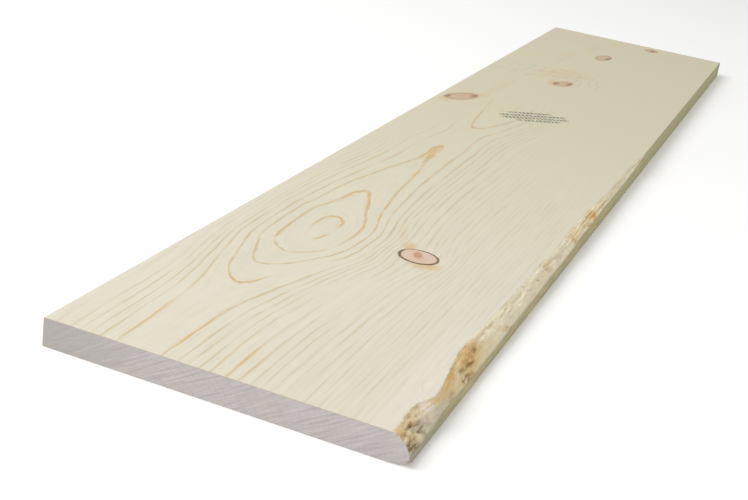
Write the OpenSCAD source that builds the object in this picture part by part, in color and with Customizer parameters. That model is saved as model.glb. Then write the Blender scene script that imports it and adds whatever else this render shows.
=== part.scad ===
// One sawn softwood board, lying flat on its wide face.
// X runs along the length, Y across the width and Z up, with the origin in the middle of
// the lower face. The log's own round surface, the wane, is left along the arris between
// the upper face and the -Y edge. It starts at the -X end, called the waney end here.

/* [Board] */
// Length from end to end
board_l = 1219; // [700:1:4877]
// Width across the wide faces
board_w = 235; // [90:1:300]
// Thickness
board_t = 19; // [15:0.5:50]

/* [Wane] */
// How far the wane runs from the waney end
wane_l = 660; // [300:10:690]
// Most that the wane takes off the width of the upper face
wane_w = 13; // [5:0.5:30]
// Most that the wane takes off the height of the edge
wane_d = 13; // [5:0.5:14.5]
// How round the wane is across the grain, from 0 for flat to 1 for a quarter round
wane_bulge = 0.65; // [0:0.05:1]

/* [Knocked corner] */
// How far the bruise on the lower waney corner runs along the edge
knock_l = 10; // [3:0.5:12]
// How far it runs across the end
knock_w = 8; // [3:0.5:12]
// How far it runs up the corner
knock_h = 5; // [3:0.5:12]
// How flat the bruise is, from 1.1 for the roundest
knock_flat = 1.2; // [1.1:0.05:2]

/* [Hidden] */

waney_x = -board_l / 2;
waney_y = -board_w / 2;

// The wane, from the waney end to where it dies out. Each row holds a share of wane_l, and
// the shares of wane_w and wane_d that are gone from the face and the edge there. The
// narrow neck in the fourth row parts the torn corner from the long wane behind it.
WANE_RUN = [
    [0.000, 0.87, 0.95],
    [0.036, 0.94, 1.00],
    [0.060, 0.85, 0.95],
    [0.080, 0.42, 0.83],
    [0.120, 0.64, 0.86],
    [0.165, 0.92, 0.92],
    [0.200, 1.00, 0.92],
    [0.240, 0.94, 0.91],
    [0.300, 0.84, 0.77],
    [0.380, 0.76, 0.77],
    [0.455, 0.70, 0.66],
    [0.515, 0.58, 0.69],
    [0.565, 0.66, 0.60],
    [0.590, 0.68, 0.44],
    [0.650, 0.65, 0.46],
    [0.710, 0.52, 0.35],
    [0.775, 0.33, 0.39],
    [0.850, 0.28, 0.38],
    [0.920, 0.28, 0.30],
    [0.965, 0.23, 0.26],
    [0.980, 0.10, 0.12],
    [1.000, 0.04, 0.04]
];
// Flats across the round of the wane
wane_flats = 6;
// How far the shapes that are cut away reach clear of the board
clear = 5;

// A point of the wane's section, as [distance in from the edge, distance below the face],
// for s from 0 on the face to 1 on the edge: part of the way from a chord to a round.
function wane_point(w, d, s) =
    let (chord = [w * (1 - s), d * s])
    let (round = [w * (1 - sin(90 * s)), d * (1 - cos(90 * s))])
    chord * (1 - wane_bulge) + round * wane_bulge;

// The section of what is cut away, closed outside the board.
function wane_section(w, d) = concat(
    [[w, -clear]],
    [for (i = [0:wane_flats]) wane_point(w, d, i / wane_flats)],
    [[-clear, d], [-clear, -clear]]
);

// The places where the section is set, each as [distance along, width, depth]. One more
// stands ahead of the waney end, so that the cut runs out through it.
function wane_stations() = concat(
    [[-clear, WANE_RUN[0][1] * wane_w, WANE_RUN[0][2] * wane_d]],
    [for (row = WANE_RUN) [row[0] * wane_l, row[1] * wane_w, row[2] * wane_d]]
);

// What the log lacked of a square corner, as one loft from section to section.
module wane_cut() {
    stations = wane_stations();
    n = wane_flats + 4;
    last = len(stations) - 1;
    points = [
        for (station = stations)
        for (p = wane_section(station[1], station[2]))
        [waney_x + station[0], waney_y + p[0], board_t - p[1]]
    ];
    skin = [
        for (k = [0:last - 1])
        for (i = [0:n - 1])
        let (a = k * n + i, b = k * n + (i + 1) % n)
        each [[a, b, b + n], [a, b + n, a + n]]
    ];
    first_cap = [for (i = [n - 1:-1:0]) i];
    last_cap = [for (i = [0:n - 1]) last * n + i];
    polyhedron(points, concat([first_cap], skin, [last_cap]), convexity = 6);
}

// The bruised lower corner: what lies outside a ball that meets the three arrises there at
// the ends of the bruise. With power for the corner's power about the ball, the ball's
// centre is (k + power / k) / 2 along an arris that it meets at k.
module knock_cut() {
    knock = [knock_l, knock_w, knock_h];
    power = pow(knock_flat * max(knock), 2);
    centre = [for (k = knock) (k + power / k) / 2];
    translate([waney_x, waney_y, 0])
        difference() {
            translate(-[clear, clear, clear]) cube(centre + [clear, clear, clear]);
            translate(centre) sphere(r = sqrt(centre * centre - power), $fn = 96);
        }
}

module board() {
    color([0.89, 0.86, 0.79])
        difference() {
            translate([waney_x, waney_y, 0]) cube([board_l, board_w, board_t]);
            wane_cut();
            knock_cut();
        }
}

board();
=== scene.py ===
"""A sawn and planed softwood board with a waney arris, lying on a pale floor."""

import math

import bmesh
import bpy
from mathutils import Matrix, Vector, noise


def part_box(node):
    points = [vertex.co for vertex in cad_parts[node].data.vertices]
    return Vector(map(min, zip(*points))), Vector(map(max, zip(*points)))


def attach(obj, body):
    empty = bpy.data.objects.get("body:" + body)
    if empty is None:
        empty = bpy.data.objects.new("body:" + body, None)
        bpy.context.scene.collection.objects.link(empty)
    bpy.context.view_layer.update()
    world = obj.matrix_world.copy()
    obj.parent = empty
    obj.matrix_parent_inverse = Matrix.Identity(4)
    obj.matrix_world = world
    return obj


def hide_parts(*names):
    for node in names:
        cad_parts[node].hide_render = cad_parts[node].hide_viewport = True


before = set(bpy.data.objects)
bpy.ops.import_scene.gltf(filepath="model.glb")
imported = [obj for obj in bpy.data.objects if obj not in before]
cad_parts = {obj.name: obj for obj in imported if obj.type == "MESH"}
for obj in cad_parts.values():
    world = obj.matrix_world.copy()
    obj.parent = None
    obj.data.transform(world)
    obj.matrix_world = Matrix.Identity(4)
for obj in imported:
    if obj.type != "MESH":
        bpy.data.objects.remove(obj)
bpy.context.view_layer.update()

# ---- The view ------------------------------------------------------------------------------
# From below knee height off the waney end, looking along the board with its square edge to the
# left. The camera is rolled a little, so that the board climbs to the right.
low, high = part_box("board")
waney_corner = Vector((low.x, low.y, high.z))
eye = waney_corner + Vector((-0.5833, -0.1616, 0.3411))
aim = waney_corner + Vector((0.2378, 0.1191, 0.0))
camera_roll = math.radians(8.73)

camera_data = bpy.data.cameras.new("camera")
camera_data.lens = 61.83
camera_data.sensor_width = 36
camera = bpy.data.objects.new("camera", camera_data)
bpy.context.scene.collection.objects.link(camera)
looking = (aim - eye).to_track_quat("-Z", "Y").to_matrix().to_4x4()
camera.matrix_world = Matrix.Translation(eye) @ looking @ Matrix.Rotation(camera_roll, 4, "Z")
bpy.context.scene.camera = camera

# ---- The board: its shape --------------------------------------------------------------------
# One length of flat-sawn softwood, planed on its wide faces and crosscut at both ends. The
# mill left the round of the log, the wane, along one upper arris, where the bark has come
# away in strips, and the lower corner at that end is bruised.
# Places on it are in mm: along from the waney end, across from the square edge, and down
# from the upper face.
MM = 0.001
length = (high.x - low.x) / MM
width = (high.y - low.y) / MM
thick = (high.z - low.z) / MM
arris = 0.6

wane_length = 660
wane_in = 13
wane_down = 13
wane_bulge = 0.65
# Where the wane swells and narrows: share of its length, share of its width off the face,
# and share of its height off the edge.
WANE_RUN = [
    (0.000, 0.87, 0.95), (0.036, 0.94, 1.00), (0.060, 0.85, 0.95), (0.080, 0.42, 0.83),
    (0.120, 0.64, 0.86), (0.165, 0.92, 0.92), (0.200, 1.00, 0.92), (0.240, 0.94, 0.91),
    (0.300, 0.84, 0.77), (0.380, 0.76, 0.77), (0.455, 0.70, 0.66), (0.515, 0.58, 0.69),
    (0.565, 0.66, 0.60), (0.590, 0.68, 0.44), (0.650, 0.65, 0.46), (0.710, 0.52, 0.35),
    (0.775, 0.33, 0.39), (0.850, 0.28, 0.38), (0.920, 0.28, 0.30), (0.965, 0.23, 0.26),
    (0.980, 0.10, 0.12), (1.000, 0.04, 0.04),
]

# The knots that show on the upper face: where they come out, how far they reach along and
# across, and how far they are turned from square to the board.
KNOTS = {
    "ringed": dict(at=(249, 147), reach=(13.5, 15.5), turn=8),
    "edge": dict(at=(722, 22.5), reach=(23, 12), turn=26),
    "swirl": dict(at=(885, 95), reach=(17, 9), turn=18),
    "olive": dict(at=(1080, 101), reach=(20, 9), turn=8),
    "last": dict(at=(1196, 143), reach=(11, 9), turn=0),
}
GROWN_IN = ("edge", "swirl", "olive", "last")


def rough(along, across, down, size, stretch=1.0, detail=2):
    """Fractal noise, about -1 to 1, in lumps of size mm, drawn out along the grain."""
    place = Vector((along / (size * stretch), across / size, down / size))
    return noise.fractal(place, 0.6, 2.0, detail)


def wane_at(along):
    """How far the wane reaches in from the edge and down from the face."""
    share = along / wane_length
    if share >= 1:
        return arris, arris
    k = max(i for i, row in enumerate(WANE_RUN) if row[0] <= share)
    before, after = WANE_RUN[max(k - 1, 0)], WANE_RUN[min(k + 2, len(WANE_RUN) - 1)]
    here, there = WANE_RUN[k], WANE_RUN[k + 1]
    t = (share - here[0]) / (there[0] - here[0])
    reach = []
    for n in (1, 2):
        span = there[0] - here[0]
        slope_here = (there[n] - before[n]) / max(there[0] - before[0], span) * span
        slope_there = (after[n] - here[n]) / max(after[0] - here[0], span) * span
        reach.append(
            here[n] * (2 * t**3 - 3 * t**2 + 1)
            + slope_here * (t**3 - 2 * t**2 + t)
            + there[n] * (3 * t**2 - 2 * t**3)
            + slope_there * (t**3 - t**2)
        )
    neck = math.exp(-((along - 42) / 16) ** 2)
    ragged = 0.55 * rough(along, 3, 1, 9) + (0.35 + 0.9 * neck) * rough(along, 9, 1, 2.5)
    grown = min(1, 0.15 + reach[0])
    face = min(max(reach[0] * wane_in + ragged * grown, arris), wane_in * 1.04)
    edge = min(max(reach[1] * wane_down + 0.8 * ragged * grown, arris), wane_down * 1.04)
    return face, edge


def wane_relief(along, s):
    """How deep the torn grain of the wane lies below its smooth round, in mm."""
    ridges = 0.5 + 0.55 * rough(along, 14 * s, 5, 1.7, stretch=14)
    strips = max(0, rough(along, 20 * s, 9, 5, stretch=7) - 0.05) * 1.6
    corner = max(0, 1 - along / 46)
    crumbs = max(0, rough(along, 20 * s, 15, 3.2, stretch=1.4, detail=3)) * (0.5 + 1.6 * corner)
    shreds = max(0, rough(along - 12 * s, 26 * s, 21, 2.6, stretch=3, detail=3)) * 3.2 * corner
    return (ridges + strips + crumbs + shreds) * math.sin(math.pi * s) ** 0.6


# The columns across the wide faces are closer over the ringed knot, and the last few
# follow the wane in and out.
ringed_low, ringed_high = 129, 165
wane_columns_from = 205


def evenly(start, stop, step):
    """Places from start up to, but not at, stop, about a step apart."""
    count = max(1, round((stop - start) / step))
    return [start + (stop - start) * i / count for i in range(count)]


face_columns = (
    [arris, 1.6]
    + evenly(6, ringed_low, 11)
    + evenly(ringed_low, ringed_high, 1.8)
    + evenly(ringed_high, wane_columns_from, 8)
    + [wane_columns_from]
)
wane_columns = [0.35, 0.65, 0.85, 0.95, 1.0]
wane_rows = 22
edge_rows = [0.12, 0.3, 0.5, 0.7, 0.86, 0.95]
arris_turns = [0.5]


def section(along):
    """The outline at one station, as (across, down) for the face, wane side, back and edge."""
    reach_in, reach_down = wane_at(along)
    stop = width - reach_in
    share_in = stop - wane_columns_from
    face = [(a, 0.0) for a in face_columns]
    face += [(wane_columns_from + share_in * c, 0.0) for c in wane_columns]

    side = []
    fade = min(1, (reach_in - arris) / 4)
    slant = math.hypot(reach_in, reach_down)
    for i in range(1, wane_rows + 1):
        s = i / wane_rows
        turn = math.pi / 2 * s
        chord = (reach_in * (1 - s), reach_down * s)
        round_off = (reach_in * (1 - math.sin(turn)), reach_down * (1 - math.cos(turn)))
        across = chord[0] * (1 - wane_bulge) + round_off[0] * wane_bulge
        down = chord[1] * (1 - wane_bulge) + round_off[1] * wane_bulge
        if fade > 0:
            sunk = wane_relief(along, s) * fade * (0.15 + 0.85 * min(1, along / 5))
            across += sunk * reach_down / slant
            down += sunk * reach_in / slant
        side.append((width - across, down))
    foot = thick - arris
    side += [(width, reach_down + (foot - reach_down) * r) for r in edge_rows + [1.0]]
    for turn in arris_turns:
        angle = math.pi / 2 * turn
        side.append((width - arris * (1 - math.cos(angle)), foot + arris * math.sin(angle)))

    back = [(width - arris, thick)]
    back += [(width - arris - (width - arris - wane_columns_from) * (1 - c), thick)
             for c in reversed(wane_columns[:-1])]
    back += [(a, thick) for a in reversed(face_columns)]

    count = len(side)
    edge = []
    for i in range(1, count + 1):
        t = i / (count + 1)
        ease = max(0, 1 - min(t, 1 - t) * (count + 1) / 3)
        down = thick * (0.5 - 0.5 * math.cos(math.pi * (0.5 + (t - 0.5) * 0.94)))
        edge.append((arris * ease**2, min(max(down, 0.2), thick - 0.2)))
    return face, side, back, edge[::-1]


# The groove round the ringed knot, and how far the knots have shrunk below the face.
groove_depth, groove_width = 0.45, 0.09
ringed_sink, knot_sink = 0.12, 0.3

# The bruise: what lies outside a ball that meets the three arrises at its ends.
bruise = (10, 8, 5)
bruise_flat = 1.2
power = (bruise_flat * max(bruise)) ** 2
ball = Vector([(k + power / k) / 2 for k in bruise])
ball_radius = math.sqrt(ball.length_squared - power)


def from_knot(name, along, across):
    """How far a place on the face is from a knot's middle: 1 at its rim."""
    knot = KNOTS[name]
    return math.hypot(
        (along - knot["at"][0]) / knot["reach"][0], (across - knot["at"][1]) / knot["reach"][1]
    )


def settled(along, across, down):
    """A surface point after the bruise and the sinking of the knots, clamped to the board."""
    corner = Vector((along, width - across, thick - down))
    if all(corner[i] < ball[i] for i in range(3)):
        out = corner - ball
        if out.length > ball_radius:
            crush = 0.5 * max(0, rough(along, across, down, 1.6))
            corner = ball + out * ((ball_radius - crush) / out.length)
            along, across, down = corner.x, width - corner.y, thick - corner.z
    if down < 0.01:
        off = from_knot("ringed", along, across)
        groove = groove_depth * math.exp(-((off - 1) / groove_width) ** 2)
        down += groove + ringed_sink * max(0, 1 - off**6)
        for name in GROWN_IN:
            down += knot_sink * max(0, 1 - from_knot(name, along, across) ** 4)
    return (
        min(max(along, 0), length),
        min(max(across, 0), width),
        min(max(down, 0), thick),
    )


stations = (
    [0, 0.3]
    + evenly(0.8, 60, 0.75)
    + evenly(60, 670, 1.8)
    + evenly(670, length - 1, 5)
    + [length - 0.9, length - 0.3, length]
)

board_mesh = bpy.data.meshes.new("board_wood")
shell = bmesh.new()
uv = shell.loops.layers.uv.new("OFBake")
FACE, EDGE, END, WANE = range(4)


def place(along, across, down):
    """A point of the board in metres, in the frame."""
    along, across, down = settled(along, across, down)
    return Vector((low.x + along * MM, high.y - across * MM, high.z - down * MM))


loops = []
for along in stations:
    parts = section(along)
    loops.append([shell.verts.new(place(along, a, d)) for part in parts for a, d in part])
face_count, side_count, back_count, edge_count = (len(part) for part in parts)
ring = face_count + side_count + back_count + edge_count

# The unrolled sheet for the finish: the length along u, and once round the section along v,
# with more room for the face and the wane than for the hidden sides. The section is measured
# at a station inside the wane. The two ends lie side by side in the strip above.
wrap_height = 0.9
end_foot, end_height, end_width = 0.915, 0.075, 0.46
measured = loops[40]
room = []
for i in range(ring):
    span = (measured[i].co - measured[(i + 1) % ring].co).length / MM
    if i < face_count - 1:
        scale, least = 1.0, 0.2
    elif i < face_count + side_count:
        scale, least = 2.0, 0.4
    else:
        scale, least = 0.6, 0.1
    room.append(span * scale + least)
sheet = [0.0]
for span in room:
    sheet.append(sheet[-1] + span)
sheet = [wrap_height * s / sheet[-1] for s in sheet]


def finish_of(i):
    """The surface that the strip from point i to the next belongs to."""
    if i < face_count - 1:
        return FACE
    if i < face_count - 1 + wane_rows:
        return WANE
    if i < face_count + side_count:
        return EDGE
    if i < face_count + side_count + back_count - 1:
        return FACE
    return EDGE


for k in range(len(stations) - 1):
    for i in range(ring):
        j = (i + 1) % ring
        quad = shell.faces.new((loops[k][i], loops[k][j], loops[k + 1][j], loops[k + 1][i]))
        waney = finish_of(i) == WANE
        quad.material_index = EDGE if waney and stations[k] > wane_length else finish_of(i)
        near, far = stations[k] / length, stations[k + 1] / length
        corners = ((near, sheet[i]), (near, sheet[i + 1]), (far, sheet[i + 1]), (far, sheet[i]))
        for corner, on_sheet in zip(quad.loops, corners):
            corner[uv].uv = on_sheet


def close_end(loop, along, u_from):
    """Closes an end with a grid between its four sides, blended from their outlines."""
    cuts = (0, face_count, face_count + side_count, face_count + side_count + back_count, ring)
    outline = [Vector(point) for part in section(along) for point in part]
    sides = []
    for k in range(4):
        sides.append(list(zip(loop[cuts[k]:cuts[k + 1]], outline[cuts[k]:cuts[k + 1]])))
    top, right, bottom, left = sides[0], sides[1], sides[2][::-1], sides[3][::-1]
    rows = side_count + 2
    grid = [[vert for vert, _ in top]]
    for r in range(1, rows - 1):
        t = r / (rows - 1)
        line = [left[r - 1][0]]
        for c in range(1, face_count - 1):
            s = c / (face_count - 1)
            inside = (
                top[c][1] * (1 - t) + bottom[c][1] * t
                + left[r - 1][1] * (1 - s) + right[r - 1][1] * s
                - top[0][1] * (1 - t) * (1 - s) - top[-1][1] * (1 - t) * s
                - bottom[0][1] * t * (1 - s) - bottom[-1][1] * t * s
            )
            line.append(shell.verts.new(place(along, *inside)))
        line.append(right[r - 1][0])
        grid.append(line)
    grid.append([vert for vert, _ in bottom])
    for r in range(rows - 1):
        for c in range(face_count - 1):
            quad = shell.faces.new((grid[r][c], grid[r][c + 1], grid[r + 1][c + 1], grid[r + 1][c]))
            quad.material_index = END
            for corner in quad.loops:
                across = (high.y - corner.vert.co.y) / (high.y - low.y)
                up = (corner.vert.co.z - low.z) / (high.z - low.z)
                corner[uv].uv = (u_from + end_width * across, end_foot + end_height * up)


close_end(loops[0], stations[0], 0.01)
close_end(loops[-1], stations[-1], 0.51)
bmesh.ops.recalc_face_normals(shell, faces=shell.faces)
for quad in shell.faces:
    quad.smooth = True
for line in shell.edges:
    kinds = {quad.material_index for quad in line.link_faces}
    line.smooth = not (END in kinds and len(kinds) > 1)
shell.to_mesh(board_mesh)
shell.free()
board = bpy.data.objects.new("board_wood", board_mesh)
bpy.context.scene.collection.objects.link(board)
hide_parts("board")
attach(board, "root")

# ---- The board: how it grew --------------------------------------------------------------------
# Growth rings about a pith that wanders under the board, and branches that slant up from it
# and come out as knots. Every surface is cut from this one block of wood, so the rings run
# on from the faces to the ends.


class Field:
    """A value that varies through the wood: the output of one shader node."""

    def __init__(self, socket):
        self.socket = socket

    def __add__(self, other):
        return worked("ADD", self, other)

    __radd__ = __add__

    def __sub__(self, other):
        return worked("SUBTRACT", self, other)

    def __rsub__(self, other):
        return worked("SUBTRACT", other, self)

    def __mul__(self, other):
        return worked("MULTIPLY", self, other)

    __rmul__ = __mul__

    def __truediv__(self, other):
        return worked("DIVIDE", self, other)


def added(tree, kind, **settings):
    """A new node of that kind, with its settings."""
    node = tree.nodes.new(kind)
    for name, value in settings.items():
        setattr(node, name, value)
    return node


def feed(tree, slot, value):
    """Sets a node's input to a number or colour, or links a field to it."""
    if isinstance(value, Field):
        tree.links.new(value.socket, slot)
    else:
        slot.default_value = value


def worked(kind, *values):
    """One step of arithmetic on numbers and fields, of which at least one is a field."""
    tree = next(v.socket.id_data for v in values if isinstance(v, Field))
    node = added(tree, "ShaderNodeMath", operation=kind)
    for slot, value in zip(node.inputs, values):
        feed(tree, slot, value)
    return Field(node.outputs[0])


def rising(value, start, stop, bottom=0.0, top=1.0):
    """Goes smoothly from bottom to top as value goes from start to stop."""
    tree = value.socket.id_data
    node = added(tree, "ShaderNodeMapRange", interpolation_type="SMOOTHSTEP")
    for slot, number in zip(node.inputs, (value, start, stop, bottom, top)):
        feed(tree, slot, number)
    return Field(node.outputs[0])


def drawn(value, points, stop, low_value, high_value):
    """A smooth curve through given points, for a value from 0 to stop."""
    tree = value.socket.id_data
    node = added(tree, "ShaderNodeFloatCurve")
    line = node.mapping.curves[0]
    spread = high_value - low_value
    for i, (x, y) in enumerate(points):
        point = (x / stop, (y - low_value) / spread)
        if i < 2:
            line.points[i].location = point
        else:
            line.points.new(*point)
    node.mapping.update()
    feed(tree, node.inputs["Value"], value / stop)
    return Field(node.outputs[0]) * spread + low_value


def joined(tree, x, y, z):
    """A vector field from three numbers or fields."""
    node = added(tree, "ShaderNodeCombineXYZ")
    for slot, value in zip(node.inputs, (x, y, z)):
        feed(tree, slot, value)
    return Field(node.outputs[0])


def mottle(tree, along, across, down, detail=2.0, roughness=0.5):
    """Noise about 0, from -0.5 to 0.5, in the given sizes of lump."""
    node = added(tree, "ShaderNodeTexNoise")
    tree.links.new(joined(tree, along, across, down).socket, node.inputs["Vector"])
    node.inputs["Scale"].default_value = 1
    node.inputs["Detail"].default_value = detail
    node.inputs["Roughness"].default_value = roughness
    return Field(node.outputs[0]) - 0.5


def blend_of(tree, ground, tint, amount):
    """One colour over another by an amount."""
    node = added(tree, "ShaderNodeMix", data_type="RGBA", blend_type="MIX")
    feed(tree, node.inputs[0], amount)
    feed(tree, node.inputs[6], ground)
    feed(tree, node.inputs[7], tint)
    return Field(node.outputs[2])


def spot(along, across, centre, reach, turn=0):
    """1 at the middle of an oval spot, 0 at its rim and beyond, with a soft shoulder."""
    c, s = math.cos(math.radians(turn)), math.sin(math.radians(turn))
    a, b = along - centre[0], across - centre[1]
    p = (a * c + b * s) / reach[0]
    q = (b * c - a * s) / reach[1]
    return rising(worked("SQRT", p * p + q * q), 1.0, 0.25)


# The pith's path: how far across the board it lies, and how far below the upper face.
PITH_ACROSS = [
    (0, 65), (50, 64), (80, 64), (110, 65), (140, 65.5), (170, 65.5), (200, 67), (230, 69),
    (260, 69), (290, 66.5), (330, 64.5), (370, 64), (420, 65.5), (470, 67.5), (530, 68),
    (570, 70), (600, 72), (640, 75.5), (680, 78), (740, 75), (800, 69),
    (860, 66), (1000, 69), (1100, 73), (1219, 77),
]
PITH_DOWN = [
    (0, 60), (50, 59.7), (80, 59.4), (110, 57.8), (121, 57), (133, 55.8), (145, 54.2),
    (170, 50.8), (192, 47), (218, 41.8), (235, 40.4), (260, 39.8), (283, 41), (310, 44.4),
    (355, 47), (390, 49.1), (430, 50.7), (470, 51.95), (500, 52.15), (528, 52.3), (550, 53.3),
    (585, 53.8), (607, 52.5), (640, 50.8), (680, 48.3), (740, 45.8), (800, 46.8),
    (870, 49), (920, 50.5), (980, 51.4), (1050, 51.9), (1130, 52.3), (1219, 53),
]
# Rings counted from the pith's distance: the early years grew wide and the late ones fine.
RING_COUNT = [
    (0, 12), (20, 7.5), (41, 4), (47, 3), (52.3, 2), (57, 1), (62, 0), (65.5, -1), (68.5, -2),
    (72, -3), (76, -4), (83, -5), (88.8, -6), (94, -7), (98.4, -8), (103.6, -9), (108.6, -10),
    (114, -11), (118.8, -12), (123.2, -13), (126.5, -14), (133.4, -16), (141.5, -18),
    (172, -26), (200, -33.6),
]

growth = bpy.data.node_groups.new("growth_rings", "ShaderNodeTree")
OUTPUTS = (
    "Along", "Across", "Down", "Line", "Warm", "Pink knot", "Tan knot", "Rim", "Heart", "Stain",
    "Fibre",
)
for name in OUTPUTS:
    growth.interface.new_socket(name, in_out="OUTPUT", socket_type="NodeSocketFloat")

position = added(growth, "ShaderNodeTexCoord")
split = added(growth, "ShaderNodeSeparateXYZ")
growth.links.new(position.outputs["Object"], split.inputs[0])
x, y, z = (Field(out) for out in split.outputs)
along = (x - low.x) / MM
across = (high.y - y) / MM
down = (high.z - z) / MM


def strongest(found, spots, strength=1.0):
    """The greater of a field and the strongest of some oval spots on the face."""
    for centre, reach, turn in spots:
        found = worked("MAXIMUM", found, spot(along, across, centre, reach, turn) * strength)
    return found


# Each branch leans out from the pith as it rises, so its centre shifts with depth. The
# rings part round it: points close beside it are read from nearer its centre.
lean = {"ringed": 0.9, "edge": -0.9, "swirl": 0.5, "olive": 0.6, "last": 0.9}
parting = {
    "ringed": (30, 19), "edge": (46, 22), "swirl": (36, 18), "olive": (34, 16), "last": (24, 16),
}
knot_off = {}
bent = across
for name, knot in KNOTS.items():
    from_centre = across + down * lean[name] - knot["at"][1]
    a = along - knot["at"][0]
    c, s = math.cos(math.radians(knot["turn"])), math.sin(math.radians(knot["turn"]))
    p = (a * c + from_centre * s) / knot["reach"][0]
    q = (from_centre * c - a * s) / knot["reach"][1]
    knot_off[name] = worked("SQRT", p * p + q * q)
    u = a / parting[name][0]
    w = from_centre / parting[name][1]
    pull = worked("EXPONENT", (u * u + w * w) * -1.0) * 0.62
    bent = bent - from_centre * pull

# The pith's bends fade out towards the bark, where the years lie nearly straight.
wobble = mottle(growth, along / 60, across / 20, down / 20, 2.0) * 2.6
shiver = mottle(growth, along / 14, across / 4, down / 4, 2.0) * 0.55
pith_across = drawn(along, PITH_ACROSS, length, 50, 90)
side = bent - pith_across
straight = rising(side, 58, 125)
side = side + straight * (pith_across - 66) + wobble
# Right over the pith, in two stretches of the length, the loops' tips are pushed a little
# towards the square edge.
jog = spot(along, along, (150, 150), (44, 44)) + spot(along, along, (357, 357), (60, 60)) * 0.6
side = side + jog * rising(worked("ABSOLUTE", side), 30, 8) * 4.0
rise = drawn(along, PITH_DOWN, length, 30, 70)
rise = rise + straight * (55 - rise) - down
pith_off = worked("SQRT", side * side + rise * rise)
age = drawn(pith_off + shiver, RING_COUNT, 200, -40, 20) * -1.0

# The dark late wood of a year builds up towards its outside and then stops short. Right
# over the pith the face all but lies in the ring, and there the band is kept narrow.
share = worked("ABSOLUTE", side) / pith_off * 0.34 + 0.05
year = worked("FRACT", age)
late = rising(year, 1 - share * 1.15, 0.97) + rising(year, share * 0.35, 0.0)
strength = rising(age, -5, 10, 1.0, 0.40) + rising(age, 10, 24, 0.0, -0.10)
quiet = rising(along, 360, 620) * rising(across, 62, 44) * 0.55
quiet = worked("MAXIMUM", quiet, rising(along, 640, 800) * 0.75)
quiet = worked("MAXIMUM", quiet, rising(along, 430, 600) * rising(across, 115, 150) * 0.55)
quiet = worked("MAXIMUM", quiet, rising(across, 26, 6) * 0.5)
patchy = mottle(growth, along / 50, across / 6, down / 6, 3.0, 0.6) * 3.4 + 0.95
patchy = worked("MAXIMUM", patchy, 0.15)
FAINT = [
    ((215, 80), (34, 12), 48), ((160, 85), (36, 12), 35), ((180, 96), (50, 12), 30),
    ((755, 74), (80, 18), 0), ((235, 62), (34, 12), -20), ((250, 80), (22, 8), 0),
    ((150, 130), (70, 26), 8),
]
for centre, reach, turn in FAINT:
    patchy = patchy * (1.0 - spot(along, across, centre, reach, turn) * 0.75)
line = late * strength * patchy * (1.0 - quiet)

# Fainter false rings run between the true ones, and the grain hooks round the swirl knot.
false_year = worked("FRACT", age * 3.0 + 0.3)
false_late = rising(false_year, 0.45, 0.95) * rising(false_year, 1.0, 0.95)
swirl_along, swirl_across = along - KNOTS["swirl"]["at"][0], across - KNOTS["swirl"]["at"][1]
swirl_along = swirl_along / KNOTS["swirl"]["reach"][0]
swirl_across = swirl_across / rising(across, 55, 105, 20, 9)
swirl_off = worked("SQRT", swirl_along * swirl_along + swirl_across * swirl_across)
bend = mottle(growth, along / 34, across / 17, down / 20, 1.0) * 1.6
hooks = worked("FRACT", (swirl_off + bend) * 0.9 - 0.18)
hooks = rising(hooks, 0.30, 0.80) * rising(hooks, 1.0, 0.84) * rising(patchy, 0.1, 1.5)
hooks = hooks * rising(along, 874, 900) * rising(swirl_off, 1.3, 1.8) * rising(swirl_off, 6.2, 4.2)
line = line + false_late * rising(patchy, 0.4, 1.5) * (1.0 - quiet) * 0.34 + hooks * 0.7

# Where the lines are soaked with resin they turn orange.
RESIN = [
    ((48, 81), (66, 12), 0), ((134, 60), (30, 30), -30), ((222, 52), (40, 16), -8),
    ((330, 66), (60, 26), 0), ((505, 68), (60, 12), 0), ((280, 68), (26, 16), 0),
    ((625, 72), (40, 14), 8), ((300, 92), (90, 14), -10), ((60, 46), (80, 8), 0),
    ((975, 120), (60, 14), -10), ((800, 68), (50, 10), 0), ((1130, 77), (50, 10), 0),
    ((940, 80), (40, 30), 30), ((660, 58), (50, 10), 20), ((440, 78), (80, 8), 3),
    ((20, 120), (50, 16), -10),
]
warm = strongest(rising(age, -6, 6, 0.45, 0.12), RESIN)

# The knots: a dark rim of bark or resin, the branch's own rings, and a stained skirt.
ringed = knot_off["ringed"] + mottle(growth, along / 6, across / 6, down / 9) * 0.10
rim_uneven = mottle(growth, along / 9, across / 9, down / 9) * 0.9 + 0.95
thin_rim = spot(along, across, (259, 136), (8, 8), 0) * 0.09
rim = rising(ringed, 0.83 + thin_rim, 0.92 + thin_rim) * rising(ringed, 1.06, 0.98) * rim_uneven
pink = rising(ringed, 1.0, 0.93)
branch_rings = worked("FRACT", ringed * 4.2)
heart = rising(branch_rings, 0.5, 0.9) * pink * 0.22
heart_fuzz = mottle(growth, along / 3, across / 3, down / 5) * 0.9 + 1.0
heart = heart + spot(along, across + down * lean["ringed"], (252, 145), (8, 5), -15) * heart_fuzz
heart = heart + spot(along, across + down * lean["ringed"], (247, 148), (10, 7), -30) * 0.3
tan = 0.0
for name in GROWN_IN:
    fuzz = mottle(growth, along / 10, across / 5, down / 10) * 0.35
    off = knot_off[name] + fuzz
    tan = worked("MAXIMUM", tan, rising(off, 1.05, 0.75))
    collar = rising(off, 0.66, 0.88) * rising(off, 1.1, 0.95)
    rim = worked("MAXIMUM", rim, collar * 0.30)
    heart = worked("MAXIMUM", heart, collar * 0.55)

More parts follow.
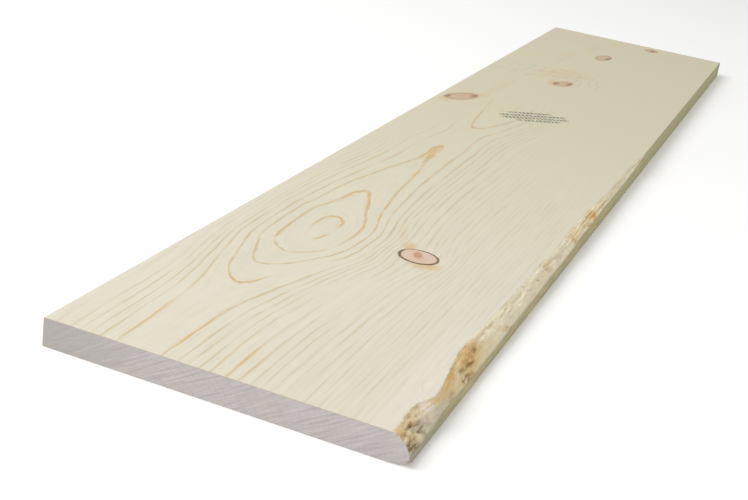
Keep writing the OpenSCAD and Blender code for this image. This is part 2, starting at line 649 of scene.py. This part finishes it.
skirt = rising(ringed, 2.3, 1.05)
stain = spot(along, across, (266, 133), (19, 8), -24) * skirt * 1.8
stain = worked("MAXIMUM", stain, spot(along, across, (235, 157), (15, 15), -50) * skirt * 1.5)
stain = worked("MAXIMUM", stain, spot(along, across, (286, 121), (34, 5), -20) * 0.35)
STAINS = [
    ((880, 84), (24, 10), -10), ((735, 27), (24, 12), 10), ((886, 99), (24, 10), 0),
    ((742, 36), (20, 9), 25), ((700, 14), (16, 10), 30),
]
stain = strongest(stain, STAINS)
stain = worked("MAXIMUM", stain, spot(along, across, (800, 43), (95, 9), 4) * 0.35)
FAINT_STAINS = [
    ((935, 84), (60, 40), 30), ((1130, 78), (60, 9), -4), ((1186, 100), (34, 14), 10),
    ((1040, 60), (80, 10), 0),
]
stain = strongest(stain, FAINT_STAINS, 0.3)
stain = stain * (mottle(growth, along / 14, across / 1.6, down / 2.5, 2.0) * 1.6 + 0.8)

# Darker at the ends of the small knots, where resin has gathered.
DARKS = [
    ((711, 10), (11, 5), 15), ((735, 33), (12, 5.5), 10), ((880, 88), (14, 4.5), 10),
    ((890, 102), (15, 4.5), 8), ((1080, 107), (20, 4.5), 6), ((1197, 145), (12, 6), 0),
]
rim = strongest(rim, DARKS, 0.56)

hair = mottle(growth, along / 40, across / 0.9, down / 0.9, 3.0, 0.6)
grown_hair = mottle(growth, along / 34, age * 2.6, across / 30, 3.0, 0.7)
streak = mottle(growth, along / 130, age * 0.55 + across / 14, down / 6, 3.0, 0.6)
fibre = hair * 0.6 + grown_hair * 0.9 + streak * 0.8

result = added(growth, "NodeGroupOutput")
values = (along, across, down, line, warm, pink, tan, rim, heart, stain, fibre)
for name, value in zip(OUTPUTS, values):
    growth.links.new(value.socket, result.inputs[name])


def new_finish(name, roughness):
    """A material whose wood is the growth group: returns it, its shader and the fields."""
    material = bpy.data.materials.new(name)
    material.use_nodes = True
    tree = material.node_tree
    shader = tree.nodes["Principled BSDF"]
    shader.inputs["Roughness"].default_value = roughness
    wood = added(tree, "ShaderNodeGroup", node_tree=growth)
    fields = {out.name: Field(out) for out in wood.outputs}
    return material, tree, shader, fields


def raise_grain(tree, shader, height, depth):
    """Gives the surface a fine relief, from a height field and its depth in mm."""
    bump = added(tree, "ShaderNodeBump")
    bump.inputs["Strength"].default_value = 1
    bump.inputs["Distance"].default_value = depth * MM
    feed(tree, bump.inputs["Height"], height)
    tree.links.new(bump.outputs[0], shader.inputs["Normal"])


# ---- The board: planed face -----------------------------------------------------------------
# Fresh planed softwood, nearly white, with a dry sheen. The rings show as thin lines, orange
# near the heart and grey further out, and the far half is painted darker and yellower, as
# painted shade where less light reaches it.
PALE = (0.765, 0.715, 0.590, 1)
FAR_SHADE_YELLOW = (0.700, 0.640, 0.445, 1)
CREAM_SHADE = (0.690, 0.645, 0.515, 1)
GREY_LINE = (0.61, 0.52, 0.34, 1)
ORANGE_LINE = (0.66, 0.42, 0.13, 1)
KNOT_PINK = (0.74, 0.53, 0.40, 1)
KNOT_TAN = (0.58, 0.41, 0.24, 1)
KNOT_RED = (0.52, 0.22, 0.10, 1)
RIM_BROWN = (0.135, 0.075, 0.026, 1)
STAIN_TAN = (0.69, 0.46, 0.21, 1)
TORN_WHITE = (0.86, 0.80, 0.72, 1)
TORN_SHADE = (0.70, 0.52, 0.42, 1)
INK = (0.125, 0.145, 0.125, 1)

planed, tree, shader, wood = new_finish("planed_face", 0.52)
# Painted shade: the face darkens and yellows towards the far end.
far_shade = rising(wood["Along"], 60, 860)
colour = blend_of(tree, PALE, FAR_SHADE_YELLOW, far_shade)
colour = blend_of(tree, colour, CREAM_SHADE, rising(wood["Fibre"], -0.22, 0.35, 0, 0.75))
line_colour = blend_of(tree, GREY_LINE, ORANGE_LINE, wood["Warm"])
colour = blend_of(tree, colour, line_colour, rising(wood["Line"], 0.0, 1.1, 0.0, 0.85))
colour = blend_of(tree, colour, STAIN_TAN, wood["Stain"] * 0.6)
colour = blend_of(tree, colour, KNOT_PINK, wood["Pink knot"] * 0.8)
colour = blend_of(tree, colour, KNOT_TAN, wood["Tan knot"] * 0.72)
colour = blend_of(tree, colour, KNOT_RED, rising(wood["Heart"], 0.0, 1.0, 0.0, 0.75))
colour = blend_of(tree, colour, RIM_BROWN, rising(wood["Rim"], 0.0, 1.0, 0.0, 0.92))

# Beside the wane the outer wood is paler, and long torn fibres sweep up over it at the neck.
drift = mottle(tree, wood["Along"] / 13, wood["Across"] / 13, wood["Down"] / 13, 2.0) * 7.0
sweep = wood["Across"] + rising(wood["Along"] + drift, 32, 64, 0, 14) + drift * 0.4
torn = rising(sweep, 216, 222) * rising(wood["Along"], 32, 44) * rising(wood["Along"], 125, 60)
torn = torn * rising(wood["Down"], 2, 0.5)
shreds = mottle(tree, wood["Along"] / 26, sweep / 1.7, 0.0, 3.0, 0.6)
paler = rising(wood["Across"], 196, 218) * rising(wood["Along"], 240, 120) * 0.25
colour = blend_of(tree, colour, TORN_WHITE, paler + torn * rising(shreds, 0.0, 0.2, 0, 0.6))
colour = blend_of(tree, colour, TORN_SHADE, torn * rising(shreds, -0.06, -0.22, 0, 0.4))

# A mill's ink mark, worn to rows of plain ticks.
mark_at = (706, 109)
mark_turn = math.radians(36)
from_mark = (wood["Along"] - mark_at[0], wood["Across"] - mark_at[1])
reading = from_mark[1] * math.cos(mark_turn) + from_mark[0] * math.sin(mark_turn)
rowing = from_mark[0] * math.cos(mark_turn) - from_mark[1] * math.sin(mark_turn)
tick_pitch, row_pitch = 4.4, 9.0
in_row = worked("FRACT", rowing / row_pitch)
in_tick = worked("FRACT", reading / tick_pitch)
ticks = rising(worked("ABSOLUTE", in_tick - 0.5), 0.40, 0.30)
ticks = ticks * rising(worked("ABSOLUTE", in_row - 0.5), 0.40, 0.34)
row_reach = rising(worked("ABSOLUTE", rowing), 8, 10, 37, 24)
ticks = ticks * rising(worked("ABSOLUTE", reading) - row_reach, 1, -1)
ticks = ticks * rising(worked("ABSOLUTE", rowing), 18, 17.5)
worn = mottle(tree, wood["Along"] / 9, wood["Across"] / 9, wood["Down"] / 9, 3.0, 0.7)
ticks = ticks * rising(worn, -0.16, 0.0) * rising(wood["Down"], 6, 4)
colour = blend_of(tree, colour, INK, ticks * 0.82)

tree.links.new(colour.socket, shader.inputs["Base Color"])
relief = wood["Fibre"] * 0.5 + wood["Line"] * 0.5 - wood["Rim"] * 2.0
raise_grain(tree, shader, relief, 0.05)
feed(tree, shader.inputs["Roughness"], rising(wood["Line"], 0, 1, 0.55, 0.42))

# ---- The board: sawn edges ------------------------------------------------------------------
# The two narrow edges as the edging saw left them: duller and a little furred, with faint
# upright saw marks, and greyer at the waney end. Their colour is also painted darker than the
# faces, as painted shade on the sides turned from the light, and darker again towards the far end.
# Painted shade: both sawn colours are set darker than the faces, for edges turned from the light.
SAWN_SHADED_PALE = (0.57, 0.50, 0.26, 1)
SAWN_SHADED_DARK = (0.36, 0.31, 0.16, 1)
SAWN_LINE = (0.40, 0.30, 0.17, 1)
SAWN_FAR_SHADE = (0.42, 0.40, 0.21, 1)
SAWN_NEAR = (0.38, 0.35, 0.29, 1)

sawn, tree, shader, wood = new_finish("sawn_edge", 0.75)
furred = mottle(tree, wood["Along"] / 30, wood["Across"] / 1.2, wood["Down"] / 1.2, 3.0)
teeth = mottle(tree, wood["Along"] / 1.4, wood["Across"] / 40, wood["Down"] / 40, 2.0)
colour = blend_of(tree, SAWN_SHADED_PALE, SAWN_SHADED_DARK, rising(furred, -0.2, 0.25))
colour = blend_of(tree, colour, SAWN_LINE, wood["Line"] * 0.4)
# Painted shade: darker towards the far end, where less light reaches.
colour = blend_of(tree, colour, SAWN_FAR_SHADE, rising(wood["Along"], 300, 1000, 0, 0.7))
colour = blend_of(tree, colour, SAWN_NEAR, rising(wood["Along"], 80, 10, 0, 0.75))
tree.links.new(colour.socket, shader.inputs["Base Color"])
raise_grain(tree, shader, furred * 0.8 + teeth * 0.6, 0.15)

# ---- The board: crosscut ends ---------------------------------------------------------------
# End grain, greyer than the faces and dullest by the square edge, with the slanting marks of
# the crosscut saw over faint rings, and a warm line of fuzz under the upper arris.
# The grey-mauve of the end grain is partly a painted cool cast of light; the end grain is also
# darker of itself.
END_PALE = (0.60, 0.56, 0.55, 1)
END_DARK = (0.46, 0.42, 0.42, 1)
END_WARM = (0.60, 0.52, 0.44, 1)
END_LINE = (0.42, 0.36, 0.33, 1)
END_DULL = (0.40, 0.38, 0.355, 1)
ARRIS_FUZZ = (0.62, 0.46, 0.30, 1)

crosscut, tree, shader, wood = new_finish("crosscut_end", 0.8)
slant = math.radians(32)
mark = wood["Across"] * math.sin(slant) + wood["Down"] * math.cos(slant)
run = wood["Across"] * math.cos(slant) - wood["Down"] * math.sin(slant)
saw_marks = mottle(tree, mark / 1.3, run / 26, 0.0, 2.5, 0.6)
grey = blend_of(tree, END_PALE, END_DARK, rising(saw_marks, -0.22, 0.22))
warmth = mottle(tree, wood["Across"] / 28, wood["Down"] / 12, wood["Along"] / 10, 2.0)
colour = blend_of(tree, grey, END_WARM, rising(warmth, -0.1, 0.3, 0, 0.35))
colour = blend_of(tree, colour, END_LINE, wood["Line"] * 0.3)
colour = blend_of(tree, colour, END_DULL, rising(wood["Across"], 90, 0, 0, 0.6))
colour = blend_of(tree, colour, ARRIS_FUZZ, rising(wood["Down"], 0.9, 0.1, 0, 0.6))
tree.links.new(colour.socket, shader.inputs["Base Color"])
raise_grain(tree, shader, saw_marks, 0.35)

# ---- The board: the wane --------------------------------------------------------------------
# The log's own surface under the bark: tan and orange strips of inner bark over pale wood,
# with dark crumbs left on it and grey-white fibres torn up near the end.
CREAM_BAST = (0.97, 0.88, 0.64, 1)
TAN_BAST = (0.68, 0.56, 0.37, 1)
YELLOW_BAST = (0.84, 0.62, 0.27, 1)
ORANGE_BAST = (0.80, 0.47, 0.17, 1)
RED_BAST = (0.46, 0.25, 0.10, 1)
DARK_CRUMB = (0.22, 0.12, 0.035, 1)
GREY_FIBRE = (0.63, 0.57, 0.46, 1)
PINK_FIBRE = (0.92, 0.80, 0.68, 1)
BROWN_STREAK = (0.46, 0.35, 0.20, 1)
STRAY_CRUMB = (0.30, 0.20, 0.10, 1)
FOOT_GREY = (0.40, 0.36, 0.25, 1)

bark, tree, shader, wood = new_finish("wane_bast", 0.85)
# Places on the wane are along it, and round it: 0 at the face to 20 at the edge.
in_from_edge = width - wood["Across"] + 0.01
round_it = wood["Down"] / (wood["Down"] + in_from_edge) * 20.0
warp_a = mottle(tree, wood["Along"] / 9, wood["Across"] / 4, wood["Down"] / 4, 3.0, 0.65)
warp_b = mottle(tree, wood["Down"] / 4, wood["Along"] / 9, wood["Across"] / 4, 3.0, 0.65)
here = (wood["Along"] + warp_a * 12, round_it + warp_b * 6)
strips = mottle(tree, wood["Along"] / 22, wood["Across"] / 1.7, wood["Down"] / 1.7, 4.0, 0.6)
fine = mottle(tree, wood["Along"] / 7, wood["Across"] / 0.7, wood["Down"] / 0.7, 3.0, 0.6)
flakes = mottle(tree, wood["Along"] / 7, wood["Across"] / 2.2, wood["Down"] / 2.2, 4.0, 0.6)
crumb = mottle(tree, wood["Along"] / 3.4, wood["Across"] / 2.0, wood["Down"] / 2.0, 4.0, 0.7)


def patches(spots):
    """The strongest of several spots on the wane, each with its own strength."""
    found = 0.0
    for centre, reach, turn, strength in spots:
        found = worked("MAXIMUM", found, spot(*here, centre, reach, turn) * strength)
    return found


yellow = patches([
    ((66, 5), (50, 15), 0, 1.1), ((4, 4), (18, 10), 0, 1.0), ((104, 3), (24, 9), 0, 0.8),
    ((120, 10), (38, 17), 0, 0.95), ((392, 8), (20, 14), 0, 0.8), ((448, 10), (20, 18), 0, 1.0),
    ((310, 4), (18, 8), 0, 0.4), ((430, 8), (16, 8), 0, 0.55), ((415, 12), (16, 12), 0, 0.35),
    ((480, 8), (30, 12), 0, 0.5), ((12, 14), (16, 8), 40, 0.7), ((540, 8), (50, 12), 0, 0.3),
    ((26, 3), (18, 6), 0, 0.7), ((86, 17), (54, 9), 0, 0.75), ((146, 14), (34, 10), 0, 0.45),
    ((440, 16), (50, 8), 0, 0.5), ((290, 12), (60, 10), 0, 0.15),
])
orange = patches([
    ((84, 2), (17, 8), 0, 1.0), ((74, 5), (20, 8), 0, 0.5), ((5, 5), (8, 4), 0, 0.7),
    ((20, 5), (12, 4), 20, 0.5), ((122, 6), (30, 12), 0, 0.8), ((381, 8), (8, 8), 0, 0.9),
    ((450, 9), (12, 12), 0, 0.9), ((306, 11), (9, 6), 0, 0.6), ((428, 14), (10, 8), 0, 0.7),
    ((112, 19), (22, 5), 30, 0.7), ((184, 15), (16, 3), 28, 0.5), ((198, 20), (16, 3), 28, 0.5),
    ((38, 10), (8, 10), 0, 0.4), ((384, 18), (10, 5), 20, 0.5),
])
red = patches([
    ((90, 1.5), (14, 3), 0, 0.6), ((124, 5), (24, 7), 0, 1.0), ((112, 10), (20, 3.5), 10, 1.0),
    ((106, 16.5), (20, 4.5), 8, 1.0), ((73, 15.5), (10, 3.5), 0, 0.9), ((380, 15), (9, 8), 0, 0.5),
    ((430, 16), (7, 7), 0, 0.9), ((190, 16), (16, 2.5), 30, 0.8), ((23, 9), (20, 4.5), 28, 0.9),
    ((417, 8), (7, 9), 0, 0.5), ((170, 3), (34, 2.5), 0, 0.6), ((208, 4), (26, 2.5), 0, 0.6),
    ((178, 8), (10, 3), 30, 0.5), ((152, 6), (20, 2.5), 0, 0.5), ((235, 5), (14, 2.5), 0, 0.5),
    ((32, 1.5), (14, 3), 0, 0.8), ((12, 14), (16, 4), 45, 0.7), ((450, 13), (5, 8), 0, 0.6),
])
dark = patches([
    ((21, 9), (14, 3.5), 28, 1.0), ((8, 18), (12, 6), 30, 1.0), ((24, 15), (14, 3), 40, 0.6),
    ((116, 10.5), (11, 2.5), 8, 0.8), ((133, 6), (6, 4), 0, 0.6), ((103, 16.5), (13, 3), 0, 0.8),
    ((300, 7), (6, 5), 0, 0.7), ((355, 10.5), (5, 2.5), 20, 0.7), ((435, 4), (4, 4), 0, 0.6),
    ((275, 9), (5, 3), 20, 0.5), ((248, 2.5), (4, 3), 0, 0.4), ((430, 15), (4, 6), 0, 0.5),
    ((640, 14), (14, 6), 0, 0.35), ((101, 9), (6, 2), 0, 0.5), ((228, 10), (5, 2), 0, 0.3),
])
grey = patches([
    ((30, 13), (20, 9), 30, 0.9), ((54, 17), (26, 7), 0, 0.8), ((26, 6), (7, 4), 30, 0.7),
    ((75, 20), (30, 5), 0, 0.3), ((655, 10), (26, 12), 0, 0.6), ((330, 9), (12, 6), 0, 0.35),
])
pink = patches([((43, 5), (8, 14), 8, 1.1), ((34, 9), (5, 9), 12, 0.8), ((60, 1), (14, 2), 0, 0.5)])

tanned = rising(strips, -0.05, 0.26, 0, 0.7) * rising(round_it, 8, 15, 1, 0.35)
colour = blend_of(tree, CREAM_BAST, TAN_BAST, tanned)
colour = blend_of(tree, colour, BROWN_STREAK, rising(fine, 0.07, 0.26, 0, 0.5))
ragged = rising(strips, 0.25, -0.2, 0.55, 1.0)
colour = blend_of(tree, colour, YELLOW_BAST, yellow * ragged)
colour = blend_of(tree, colour, ORANGE_BAST, orange * ragged * 0.9)
colour = blend_of(tree, colour, GREY_FIBRE, grey * rising(fine, 0.15, -0.1, 0.35, 0.95))
colour = blend_of(tree, colour, RED_BAST, red * rising(flakes, -0.14, 0.16, 0.0, 0.85))
colour = blend_of(tree, colour, PINK_FIBRE, pink * rising(fine, 0.16, -0.04, 0.2, 0.95))
colour = blend_of(tree, colour, DARK_CRUMB, dark * rising(flakes, -0.16, 0.08) * 0.9)
stray = rising(crumb, 0.2, 0.28) * rising(wood["Along"], 560, 380)
colour = blend_of(tree, colour, STRAY_CRUMB, stray * 0.5)
colour = blend_of(tree, colour, FOOT_GREY, rising(round_it, 18, 20, 0, 0.7))
tree.links.new(colour.socket, shader.inputs["Base Color"])
raise_grain(tree, shader, fine + strips * 0.6 + flakes * 0.5 + crumb * 0.3, 0.6)

for material in (planed, sawn, crosscut, bark):
    board_mesh.materials.append(material)

# ---- The floor and the light ----------------------------------------------------------------
# A plain white floor, lifted a little so that its shadows stay pale, and soft daylight from
# above and to the left, as in a shop's picture corner.
floor_gap = 0.0002
floor_mesh = bpy.data.meshes.new("floor")
floor_build = bmesh.new()
bmesh.ops.create_grid(floor_build, x_segments=8, y_segments=8, size=6)
floor_build.to_mesh(floor_mesh)
floor_build.free()
floor = bpy.data.objects.new("floor", floor_mesh)
floor.location = (1.5, 0, low.z - floor_gap)
bpy.context.scene.collection.objects.link(floor)
floor_paint = bpy.data.materials.new("floor_paint")
floor_paint.use_nodes = True
floor_shader = floor_paint.node_tree.nodes["Principled BSDF"]
floor_shader.inputs["Base Color"].default_value = (0.94, 0.94, 0.94, 1)
floor_shader.inputs["Roughness"].default_value = 0.9
floor_shader.inputs["Specular IOR Level"].default_value = 0.1
floor_shader.inputs["Emission Color"].default_value = (1, 1, 1, 1)
floor_shader.inputs["Emission Strength"].default_value = 0.12
floor_mesh.materials.append(floor_paint)

sky = bpy.data.worlds.new("sky")
sky.use_nodes = True
sky.node_tree.nodes["Background"].inputs["Color"].default_value = (1.0, 1.0, 1.0, 1)
sky.node_tree.nodes["Background"].inputs["Strength"].default_value = 0.55
bpy.context.scene.world = sky


def soft_light(name, place, target, size, power, colour):
    """A square softbox at a place, turned to a target."""
    data = bpy.data.lights.new(name, "AREA")
    data.shape = "SQUARE"
    data.size = size
    data.energy = power
    data.color = colour
    lamp = bpy.data.objects.new(name, data)
    direction = Vector(target) - Vector(place)
    lamp.matrix_world = (
        Matrix.Translation(place) @ direction.to_track_quat("-Z", "Y").to_matrix().to_4x4()
    )
    bpy.context.scene.collection.objects.link(lamp)


soft_light("key", (-1.3, 1.5, 2.4), (-0.2, 0, 0), 2.2, 62, (1.0, 0.99, 0.97))

bpy.context.scene.view_settings.view_transform = "Standard"
